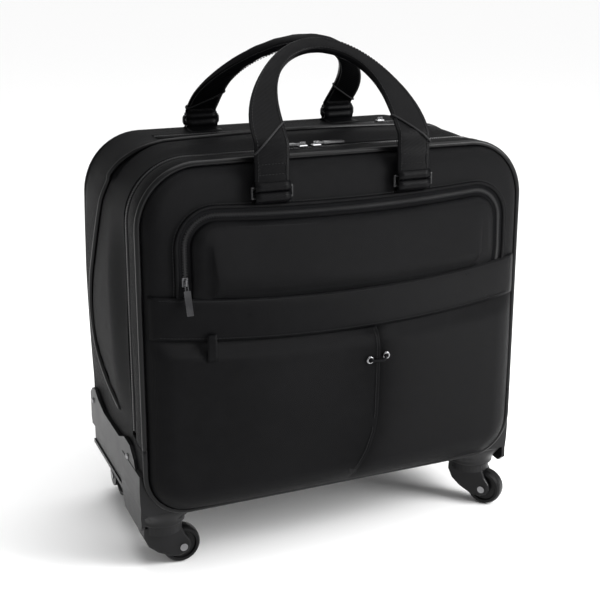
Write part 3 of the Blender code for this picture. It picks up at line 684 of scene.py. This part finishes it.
SEAM_LIFT = 0.0020
flat_half = HALF_W - TOP_R
side_run = [(a, b) for a, b in SEAM_SAMPLES if b < TOP_Z - 0.0004]
path = [wall_point(a, b, 1, SEAM_LIFT) for a, b in side_run]
for i in range(41):
    x = flat_half * (1 - i / 20)
    path.append(on_wall(seam_station(x, TOP_Z), x, TOP_Z, 0.0, 1.0, SEAM_LIFT))
path += [wall_point(a, b, -1, SEAM_LIFT) for a, b in side_run[::-1]]
cord_tube("seam_piping_cord", path, 0.0027, PIPING, "case", ("seam_piping",))
rear_path = [on_wall(REAR_BACK - 0.001, *p, -0.0014) for p in outline(0.0)]
cord_tube("rear_piping_cord", rear_path, 0.0022, PIPING, "case", closed=True)


# ------------------------------------------------------------------ zips
TAPE_THICK = 0.0006


def zip_above(z):
    return z > 0.150


run = open_run(zip_above)
zip_mid = (COVER_BACK + MAIN_FRONT) / 2
main_path = [(x - nx * 0.0006, depth(zip_mid), z - nz * 0.0006) for x, z, nx, nz in run]
main_up = [(nx, 0, nz) for x, z, nx, nz in run]
ribbon("main_zip_tape", main_path, 0.0128, main_up, TAPE, "case", ("main_zip",),
       thickness=TAPE_THICK)
zip_coil("main_zip_coil", main_path, main_up, "case")

rear_y = (0.145 + 0.170) / 2
rear_line = [(x, depth(rear_y), TOP_Z - 0.0006) for x in (i * 0.01 - 0.145 for i in range(30))]
rear_up = [(0, 0, 1)] * len(rear_line)
ribbon("rear_zip_tape", rear_line, 0.024, rear_up, TAPE, "case", ("rear_zip",),
       thickness=TAPE_THICK, lift=0.0006)
zip_coil("rear_zip_coil", [(x, y, z + 0.0003) for x, y, z in rear_line], rear_up, "case")


# ------------------------------------------------------------------ front pocket
POCKET = {"half": 0.1665, "low": 0.2840, "high": 0.3780, "r": 0.026, "mid": 0.005}
TOP_SAG = 0.007


def pocket_path(grow, steps=12):
    """Open path up one side of the pocket, over its top and down the other: (x, z, nx, nz)."""
    half, high, r = POCKET["half"] + grow, POCKET["high"] + grow, POCKET["r"] + grow
    points = []
    for i in range(7):
        points.append((half, POCKET["low"] + (high - r - POCKET["low"]) * i / 6, 1.0, 0.0))
    for i in range(1, steps + 1):
        a = math.pi / 2 * i / steps
        points.append((half - r + r * math.cos(a), high - r + r * math.sin(a), math.cos(a), math.sin(a)))
    for i in range(1, 40):
        points.append(((half - r) * (1 - 2 * i / 40), high, 0.0, 1.0))
    for i in range(steps + 1):
        a = math.pi / 2 + math.pi / 2 * i / steps
        points.append((r - half + r * math.cos(a), high - r + r * math.sin(a), math.cos(a), math.sin(a)))
    for i in range(1, 7):
        points.append((-half, high - r + (POCKET["low"] - high + r) * i / 6, -1.0, 0.0))
    made = []
    for x, z, nx, nz in points:
        share = max((z - POCKET["low"]) / (high - POCKET["low"]), 0.0)
        sag = TOP_SAG * (1 - (x / half) ** 2) * share
        made.append((x + POCKET["mid"], z - sag, nx, nz))
    return made


def pocket_face(x, z, puff):
    """Point on the pocket; it tucks in under the band."""
    clear = smooth((z - band_middle(x) - BAND_HALF + 0.001) / 0.016)
    return (x, depth(-front_swell(x, z) - 0.0003 - (puff - 0.0003) * clear), z)


rings = []
POCKET_EDGE = ((0.000, 0.0005), (-0.0005, 0.0028), (-0.0022, 0.0048), (-0.005, 0.0062), (-0.010, 0.0072),
               (-0.018, 0.0078))
for grow, puff in POCKET_EDGE:
    rings.append([pocket_face(x, z, puff + (fabric_ripple(x, z, 4.0) if grow < -0.004 else 0.0))
                  for x, z, _, _ in pocket_path(grow)])
inner = pocket_path(-0.018)
count = len(inner)
for k in range(1, 9):
    t = k / 9
    row = []
    for i, (x, z, _, _) in enumerate(inner):
        goal_x = POCKET["mid"] + (x - POCKET["mid"]) * 0.94
        goal_z = 0.2860
        xx, zz = x + (goal_x - x) * t, z + (goal_z - z) * t
        puff = 0.0078 + 0.0036 * math.sin(math.pi * t * 0.5) + fabric_ripple(xx, zz, 4.0) * 1.6
        row.append(pocket_face(xx, zz, puff))
    rings.append(row)
pocket = link("pocket_pillow", grid_mesh("pocket_pillow", rings), NYLON, "cover",
              ("front_pocket",))
thicken(pocket, 0.0012, 1.0)

zip_run = pocket_path(0.0075)
zip_pts = [pocket_face(x, z, 0.0016) for x, z, _, _ in zip_run]
zip_ups = [front_out((x, 0, z)) for x, z, _, _ in zip_run]
ribbon("pocket_zip_tape", zip_pts, 0.0140, zip_ups, TAPE, "cover", ("pocket_zip",),
       thickness=TAPE_THICK)
zip_coil("pocket_zip_coil", zip_pts, zip_ups, "cover")
hem = pocket_path(0.0150)
cord_tube("pocket_hem", [pocket_face(x, z, 0.0012) for x, z, _, _ in hem], 0.0022, NYLON, "cover")
edge = pocket_path(-0.0040)
stitching("pocket_stitches", [pocket_face(x, z, 0.0064) for x, z, _, _ in edge], front_out, "cover")
outer = pocket_path(0.0185)
stitching("pocket_outer_stitches", [pocket_face(x, z, 0.0022) for x, z, _, _ in outer], front_out, "cover")

# ------------------------------------------------------------------ band across the front
xs = [-0.2040 + 0.408 * i / 80 for i in range(81)]


def band_point(x, v):
    """v runs from -1 at the lower edge to 1 at the upper edge."""
    z = band_middle(x) + v * BAND_HALF
    edge = 1 - abs(v) ** 6
    ends = smooth((HALF_W - 0.004 - abs(x)) / 0.030)
    rise = (0.0006 + 0.0012 * ends) * (0.35 + 0.65 * edge)
    return (x, depth(-front_swell(x, z) - 0.0010 * ends - rise), z)


rows = [[band_point(x, -1 + 2 * j / 14) for x in xs] for j in range(15)]
band = link("band_webbing", grid_mesh("band_webbing", rows), TWILL, "cover", ("band_strap",))
thicken(band, 0.0016, 0.0)
for v, name in ((0.86, "upper"), (-0.86, "lower")):
    line = [Vector(band_point(x, v)) + Vector((0, -0.0008, 0)) for x in xs[2:-2]]
    stitching("band_stitches_" + name, line, front_out, "cover")

# ------------------------------------------------------------------ lower panel details
fold = []
for i in range(40):
    z = 0.2500 - (0.2500 - 0.0960) * i / 39
    fold.append(Vector((pleat_x(z) - 0.0040, depth(-panel_height(pleat_x(z) - 0.0040, z)) - 0.0004, z)))
upper_fold = [p for p in fold if p.z > FOLD_Z + 0.004]
lower_fold = [p for p in fold if p.z < FOLD_Z - 0.004]
stitching("pleat_stitches", upper_fold, front_out, "cover")
stitching("pleat_foot_stitches", lower_fold, front_out, "case")
foot = fold[-1]
tack = [foot + Vector((0.0012 * (i - 3), 0, 0.0006 * (-1) ** i)) for i in range(7)]
tack = [(p, Vector((0, 0, 1)), Vector((0, -1, 0))) for p in tack]
little_boxes("pleat_bartack", tack, (0.0060, 0.0012, 0.0010), THREAD, "case")


def turned_ring(name, centre, axis, profile, mat, body, replaced=(), sides=32):
    """Lathe (radius, height) pairs round an axis."""
    axis = Vector(axis).normalized()
    side = axis.orthogonal().normalized()
    other = axis.cross(side)
    rows = [[Vector(centre) + (side * math.cos(a) + other * math.sin(a)) * r + axis * h
             for a in (2 * math.pi * k / sides for k in range(sides))] for r, h in profile]
    return link(name, grid_mesh(name, rows, close_u=True), mat, body, replaced)


EYE_PROFILE = ((0.0020, -0.0004), (0.0020, 0.0010), (0.0024, 0.0014), (0.0034, 0.0014), (0.0041, 0.0009),
               (0.0043, 0.0002), (0.0043, -0.0006))
EYES = []
for side, x in (("left", 0.0200), ("right", 0.0420)):
    z = 0.2200
    out = Vector((0, -1, 0))
    centre = Vector((x, depth(-panel_height(x, z)) - 0.0004, z))
    EYES.append(centre)
    turned_ring("eyelet_rim_" + side, centre, out, EYE_PROFILE, STEEL, "cover", ("eyelet_" + side,))
a, b = EYES
front_most = min(a.y, b.y, depth(-panel_height(pleat_x(0.22) - 0.001, 0.22))) - 0.0016
cord_line = [(a.x, a.y + 0.0010, a.z), (a.x + 0.0014, a.y - 0.0020, a.z), (a.x + 0.0070, front_most, a.z - 0.0006),
             (b.x - 0.0070, front_most, b.z - 0.0006), (b.x - 0.0014, b.y - 0.0020, b.z), (b.x, b.y + 0.0010, b.z)]
smooth_line = [Vector(between(k / 24, cord_line)) for k in range(25)]
cord_tube("elastic_loop", smooth_line, 0.0015, ELASTIC, "cover", ("elastic_cord",))

# side label folded over the band's lower edge
label = []
for i in range(7):
    z = 0.2660 - 0.0270 * i / 6
    label.append([(x, band_point(x, -0.55)[1] - 0.0030 - 0.0012 * math.sin(math.pi * i / 6), z)
                  for x in (-0.1505 + 0.0095 * j / 4 for j in range(5))])
label = link("label_cloth", grid_mesh("label_cloth", label), WEBBING, "cover", ("label_tab",))
thicken(label, 0.0010)


# ------------------------------------------------------------------ carrying handles
def handle_strap(name, x_mid, half, pivot, lean, bend_at, foot, rise, apex, body, replaced, fold_top,
                 fold_extra, wrap_rise=0.0):
    """Webbing handle: flat legs doubled at the foot, rolled and stitched into a soft grip at the top."""
    y0, z0 = pivot
    tilt = math.radians(lean)

    def place(u, v, w):
        bend = min(max((v - bend_at + 0.015) / 0.030, 0.0), 1.0) * tilt
        over = max(v - bend_at, 0.0)
        y = y0 + over * math.sin(tilt) - w * math.cos(bend)
        z = z0 + min(v, bend_at) + over * math.cos(tilt) + w * math.sin(bend)
        return Vector((x_mid + u, y, z))

    steps = 22
    run = [(-half, foot + (rise - foot) * i / 12, 0.0) for i in range(12)]
    for i in range(2 * steps + 1):
        a = math.pi * i / (2 * steps)
        run.append((-half * math.cos(a), rise + (apex - rise) * math.sin(a), math.sin(a)))
    run += [(half, v, s) for _, v, s in run[:12][::-1]]
    rows = []
    rims = ([], [])
    for i, (u, v, share) in enumerate(run):
        before, after = run[max(i - 1, 0)], run[min(i + 1, len(run) - 1)]
        along = Vector((after[0] - before[0], after[1] - before[1])).normalized()
        across = Vector((-along.y, along.x))
        wide = WEB_HALF - 0.0108 * smooth(share * 1.1)
        thick = 0.0016 + 0.0032 * smooth(share * 1.15)
        if v < fold_top:
            thick += fold_extra
        crease = 0.0006 * math.sin(i * 1.9) * share
        row = []
        for k in range(24):
            a = 2 * math.pi * k / 24
            power = 0.42
            c, s = math.cos(a), math.sin(a)
            p = math.copysign(abs(c) ** power, c)
            q = math.copysign(abs(s) ** power, s)
            out = q * (thick + crease * math.cos(3 * a))
            row.append(place(u + across.x * wide * p, v + across.y * wide * p, out))
        rows.append(row)
        for rim, p in zip(rims, (-0.82, 0.82)):
            rim.append(place(u + across.x * wide * p, v + across.y * wide * p, thick * 1.0 + 0.0001))
    mesh = grid_mesh(name, rows, close_u=True)
    bm = bmesh.new()
    bm.from_mesh(mesh)
    bmesh.ops.holes_fill(bm, edges=bm.edges, sides=0)
    bmesh.ops.recalc_face_normals(bm, faces=bm.faces)
    bm.to_mesh(mesh)
    bm.free()
    obj = link(name, mesh, WEBBING, body, replaced)
    for rim, word in zip(rims, ("inner", "outer")):
        face = (place(0, 0.02, 0.01) - place(0, 0.02, 0)).normalized()
        stitching(name + "_stitches_" + word, rim, lambda p: face, body)
    # sleeve seams where the grip's cover begins
    for word, side in (("left", -1), ("right", 1)):
        loop = []
        for k in range(33):
            a = 2 * math.pi * k / 32
            c, s = math.cos(a), math.sin(a)
            p = math.copysign(abs(c) ** 0.42, c)
            q = math.copysign(abs(s) ** 0.42, s)
            v = rise - 0.004 + 0.016 * p * side * -1 + wrap_rise
            loop.append(place(side * half + p * (WEB_HALF + 0.0004), v, q * 0.0026))
        cord_tube(name + "_wrap_" + word, loop[:-1], 0.0011, THREAD, body, closed=True, sides=8)
    # doubled end stitched in a box
    for word, side in (("left", -1), ("right", 1)):
        x = side * half
        corners = [(x - 0.0135, foot + 0.012), (x + 0.0135, foot + 0.012), (x + 0.0135, fold_top - 0.004),
                   (x - 0.0135, fold_top - 0.004), (x - 0.0135, foot + 0.012)]
        line = [place(u, v, 0.0026) for u, v in corners]
        stitching(name + "_box_" + word, line, lambda p: Vector((0, -1, 0)), body)
    return obj


WEB_HALF = 0.018


ring_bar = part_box("front_ring_left")
FRONT_RING_Y = (ring_bar[0].y + ring_bar[1].y) / 2
FRONT_RING_Z = ring_bar[0].z + 0.0016
FRONT_X, FRONT_HALF = -0.0045, 0.0765
handle_strap("front_handle_strap", FRONT_X, FRONT_HALF, (FRONT_RING_Y, FRONT_RING_Z), 42, 0.052, 0.0100,
             0.062, 0.1640, "front_handle", ("front_handle",), 0.036, 0.0008)
REAR_X, REAR_HALF = 0.004, 0.084
REAR_BAR_Y, REAR_BAR_Z = depth(0.196), 0.4385
handle_strap("rear_handle_strap", REAR_X, REAR_HALF, (REAR_BAR_Y, REAR_BAR_Z), -50, 0.014, 0.0065,
             0.030, 0.140, "rear_handle", ("rear_handle",), 0.020, -0.0003, 0.010)


def loop_cloth(name, x, y, z, body, replaced=(), radius=0.0040, half=0.018):
    """Rolled end of webbing round a bar."""
    rows = []
    for k in range(25):
        a = 2 * math.pi * k / 24
        at = (y + radius * math.cos(a), z + radius * math.sin(a))
        rows.append([(x - half + 2 * half * j / 6, *at) for j in range(7)])
    return thicken(link(name, grid_mesh(name, rows), WEBBING, body, replaced), 0.0014, -1.0)


for side, sign in (("left", -1), ("right", 1)):
    x = FRONT_X + sign * FRONT_HALF
    loop_cloth("front_handle_loop_" + side, x, FRONT_RING_Y, FRONT_RING_Z + 0.0100, "front_handle")
    loop_cloth("front_tab_loop_" + side, x, FRONT_RING_Y, FRONT_RING_Z, "cover",
               ("front_anchor_" + side,))
    rows = []
    for i in range(13):
        t = i / 12
        z = FRONT_RING_Z - 0.0034 - 0.0050 * t
        y_face = depth(-front_swell(x, z)) - 0.0002
        y = FRONT_RING_Y + (y_face - FRONT_RING_Y) * smooth(t)
        rows.append([(x - 0.018 + 0.036 * j / 8, y, z) for j in range(9)])
    tab = link("front_tab_" + side, grid_mesh("front_tab", rows), WEBBING, "cover")
    thicken(tab, 0.0026, 0.0)
    x = REAR_X + sign * REAR_HALF
    corners = ((-0.0200, 0.0), (0.0200, 0.0), (0.0200, 0.0076), (-0.0200, 0.0076))
    bar = [(x + u, REAR_BAR_Y, REAR_BAR_Z + v) for u, v in corners]
    dense = [Vector(p).lerp(Vector(q), t / 6) for p, q in zip(bar, bar[1:] + bar[:1]) for t in range(6)]
    cord_tube("rear_ring_" + side, dense, 0.0015, BLACK_WIRE, "rear_handle", closed=True)
    loop_cloth("rear_handle_loop_" + side, x, REAR_BAR_Y, REAR_BAR_Z + 0.0076, "rear_handle",
               radius=0.0032)
    loop_cloth("rear_tab_loop_" + side, x, REAR_BAR_Y, REAR_BAR_Z, "case", ("rear_anchor_" + side,))
    rows = []
    for i in range(9):
        y = REAR_BAR_Y - 0.024 + 0.036 * i / 8
        z = TOP_Z + 0.0006 + 0.0034 * math.exp(-((y - REAR_BAR_Y) / 0.006) ** 2)
        rows.append([(x - 0.018 + 0.036 * j / 6, y, z) for j in range(7)])
    thicken(link("rear_tab_" + side, grid_mesh("rear_tab", rows), WEBBING, "case"), 0.0014)

# ------------------------------------------------------------------ back panel
ring = [p for p in outline(0.004)]
top_z = TOP_Z - 0.004
notch = [(0.066, top_z), (0.066, 0.3977), (-0.066, 0.3977), (-0.066, top_z)]
points = []
for x, z, _, _ in ring:
    if z > top_z - 0.0005 and abs(x) < 0.0662:
        if notch:
            points += notch
            notch = []
        continue
    points.append((x, z))
bm = bmesh.new()
front_ring = [bm.verts.new((x, depth(0.2078), z)) for x, z in points]
face = bm.faces.new(front_ring)
moved = bmesh.ops.extrude_face_region(bm, geom=[face])
for v in moved["geom"]:
    if isinstance(v, bmesh.types.BMVert):
        v.co.y = depth(0.2255)
bmesh.ops.recalc_face_normals(bm, faces=bm.faces)
mesh = bpy.data.meshes.new("back_padding")
bm.to_mesh(mesh)
bm.free()
back = link("back_padding", mesh, NYLON_SIDE, "case", ("back_panel",), smooth=False)
mod = back.modifiers.new("edge", "BEVEL")
mod.width = 0.0050
mod.segments = 5
mod.limit_method = "ANGLE"
mod.angle_limit = math.radians(50)
mod.harden_normals = True
foot_z = BASE_Z + 0.004
seam_line = [(x * 0.955, depth(0.2257), foot_z + (z - foot_z) * 0.965) for x, z, _, _ in outline(0.010)]
seam_line = [p for p in seam_line if not (abs(p[0]) < 0.075 and p[2] > 0.38)]
stitching("back_stitches", seam_line, lambda p: Vector((0, 1, 0)), "case")

# ------------------------------------------------------------------ corners of the guards, over the caster housings
CORNER_LOW = 0.0725


def guard_corner(word, sign):
    """Moulded corner that wraps the case's foot and narrows into the caster housing."""
    radius = LOW_R + 0.0004
    turns = [math.radians(90 * i / 16) for i in range(17)]
    arc = [(HALF_W - LOW_R + radius * math.cos(a), BASE_Z + LOW_R - radius * math.sin(a)) for a in turns]
    shape = [(0.2160, 0.1170), (0.2164, 0.1000), (0.2160, 0.0850), (0.2148, CORNER_LOW), (0.1500, CORNER_LOW)]
    shape += [p for p in arc[::-1] if p[1] > CORNER_LOW]
    bm = bmesh.new()
    face = bm.faces.new([bm.verts.new((sign * x, depth(0.0030), z)) for x, z in shape])
    moved = bmesh.ops.extrude_face_region(bm, geom=[face])
    for v in moved["geom"]:
        if isinstance(v, bmesh.types.BMVert):
            v.co.y = depth(0.0720)
    bmesh.ops.recalc_face_normals(bm, faces=bm.faces)
    mesh = bpy.data.meshes.new("guard_wrap_" + word)
    bm.to_mesh(mesh)
    bm.free()
    wrap = link("guard_wrap_" + word, mesh, PLASTIC, "case", smooth=False)
    mod = wrap.modifiers.new("edge", "BEVEL")
    mod.width = 0.0011
    mod.segments = 3
    mod.limit_method = "ANGLE"
    mod.angle_limit = math.radians(40)
    mod.harden_normals = True
    rows = []
    levels = 14
    for i in range(levels + 1):
        t = i / levels
        z = CORNER_LOW + 0.0002 - (CORNER_LOW - 0.0527) * t
        share = smooth(t * 1.15)
        row = []
        for k in range(48):
            a = 2 * math.pi * k / 48
            power = 0.45 + 0.55 * share
            c = math.copysign(abs(math.cos(a)) ** power, math.cos(a))
            q = math.copysign(abs(math.sin(a)) ** power, math.sin(a))
            mid_x = 0.1830 + (0.1870 - 0.1830) * share
            mid_y = 0.0365 + (0.0330 - 0.0365) * share
            half_x = 0.0322 + (0.0246 - 0.0322) * share
            half_y = 0.0330 + (0.0246 - 0.0330) * share
            row.append((sign * (mid_x + half_x * c), depth(mid_y + half_y * q), z))
        rows.append(row)
    mid_x, mid_y = sign * 0.187, depth(0.033)
    rows.append([(mid_x + (x - mid_x) * 0.94, mid_y + (y - mid_y) * 0.94, z - 0.0004) for x, y, z in rows[-1]])
    bell = link("guard_bell_" + word, grid_mesh("guard_bell_" + word, rows, close_u=True), PLASTIC, "case")
    thicken(bell, 0.0010, -1.0)


guard_corner("left", -1)
guard_corner("right", 1)

# ------------------------------------------------------------------ hard parts keep their CAD solids
FINISH = {
    "guard_plastic": PLASTIC, "wheel_rubber": RUBBER, "steel": STEEL, "tube_aluminium": ALUMINIUM,
    "zip_metal": GUNMETAL, "board": BOARD, "lining": LINING, "webbing": WEBBING, "ballistic_nylon": NYLON_SIDE,
    "piping": PIPING, "zip_tape": TAPE, "elastic": ELASTIC,
}
SLOTS = {part["node"]: part["material_slot"] for part in frame["record"]["subparts"]}
for name, obj in frame["nodes"].items():
    obj.data.materials.clear()
    finish = FINISH[SLOTS[name]]
    if name.startswith("front_ring"):
        finish = BLACK_WIRE
    if name.startswith(("main_slider", "main_pull", "rear_slider")):
        finish = NICKEL
    obj.data.materials.append(finish)
    if obj.hide_render:
        continue
    obj.data.shade_smooth()
    mod = obj.modifiers.new("edge", "BEVEL")
    mod.width = 0.0006
    mod.segments = 2
    mod.limit_method = "ANGLE"
    mod.angle_limit = math.radians(35)
    mod.harden_normals = True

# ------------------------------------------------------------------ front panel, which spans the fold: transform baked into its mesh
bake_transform(front_panel)

# ------------------------------------------------------------------ floor, light and camera
mesh = bpy.data.meshes.new("floor")
mesh.from_pydata([(-60, -60, 0), (60, -60, 0), (60, 60, 0), (-60, 60, 0)], [], [(0, 1, 2, 3)])
floor = bpy.data.objects.new("floor", mesh)
bpy.context.scene.collection.objects.link(floor)
floor_mat, _ = new_material("floor_white", (0.95, 0.95, 0.95), 0.8, specular=0.1)
mesh.materials.append(floor_mat)

world = bpy.data.worlds.new("studio")
bpy.context.scene.world = world
world.use_nodes = True
world.node_tree.nodes["Background"].inputs["Color"].default_value = (1.0, 1.0, 1.0, 1.0)
world.node_tree.nodes["Background"].inputs["Strength"].default_value = 0.42


def area_light(name, place, aim, size, power):
    light = bpy.data.lights.new(name, "AREA")
    light.shape = "RECTANGLE"
    light.size, light.size_y = size
    light.energy = power
    obj = bpy.data.objects.new(name, light)
    bpy.context.scene.collection.objects.link(obj)
    obj.location = place
    obj.rotation_euler = (Vector(aim) - Vector(place)).to_track_quat("-Z", "Y").to_euler()


area_light("key", (1.25, -1.15, 1.0), (0.05, 0, 0.28), (0.7, 1.1), 46)
area_light("top", (0.0, 0.5, 2.2), (0, 0, 0.3), (1.6, 1.2), 16)
area_light("rim", (-1.9, 0.2, 0.8), (0, 0, 0.25), (0.3, 1.2), 2.5)
sun = bpy.data.lights.new("sky", "SUN")
sun.energy = 2.1
sun.angle = math.radians(70)
sun_obj = bpy.data.objects.new("sky", sun)
bpy.context.scene.collection.objects.link(sun_obj)
sun_obj.rotation_euler = (math.radians(14), math.radians(18), 0.0)

camera = bpy.data.cameras.new("camera")
camera.lens = 68.17
camera.sensor_width = 36.0
camera.shift_y = -0.0833
camera_obj = bpy.data.objects.new("camera", camera)
bpy.context.scene.collection.objects.link(camera_obj)
camera_obj.location = (-0.4762, FRONT_Y - 1.0126, 0.6294)
camera_obj.rotation_euler = (math.pi / 2 - 0.2615, 0.0, -0.4042)
bpy.context.scene.camera = camera_obj
bpy.context.scene.view_settings.view_transform = "Standard"
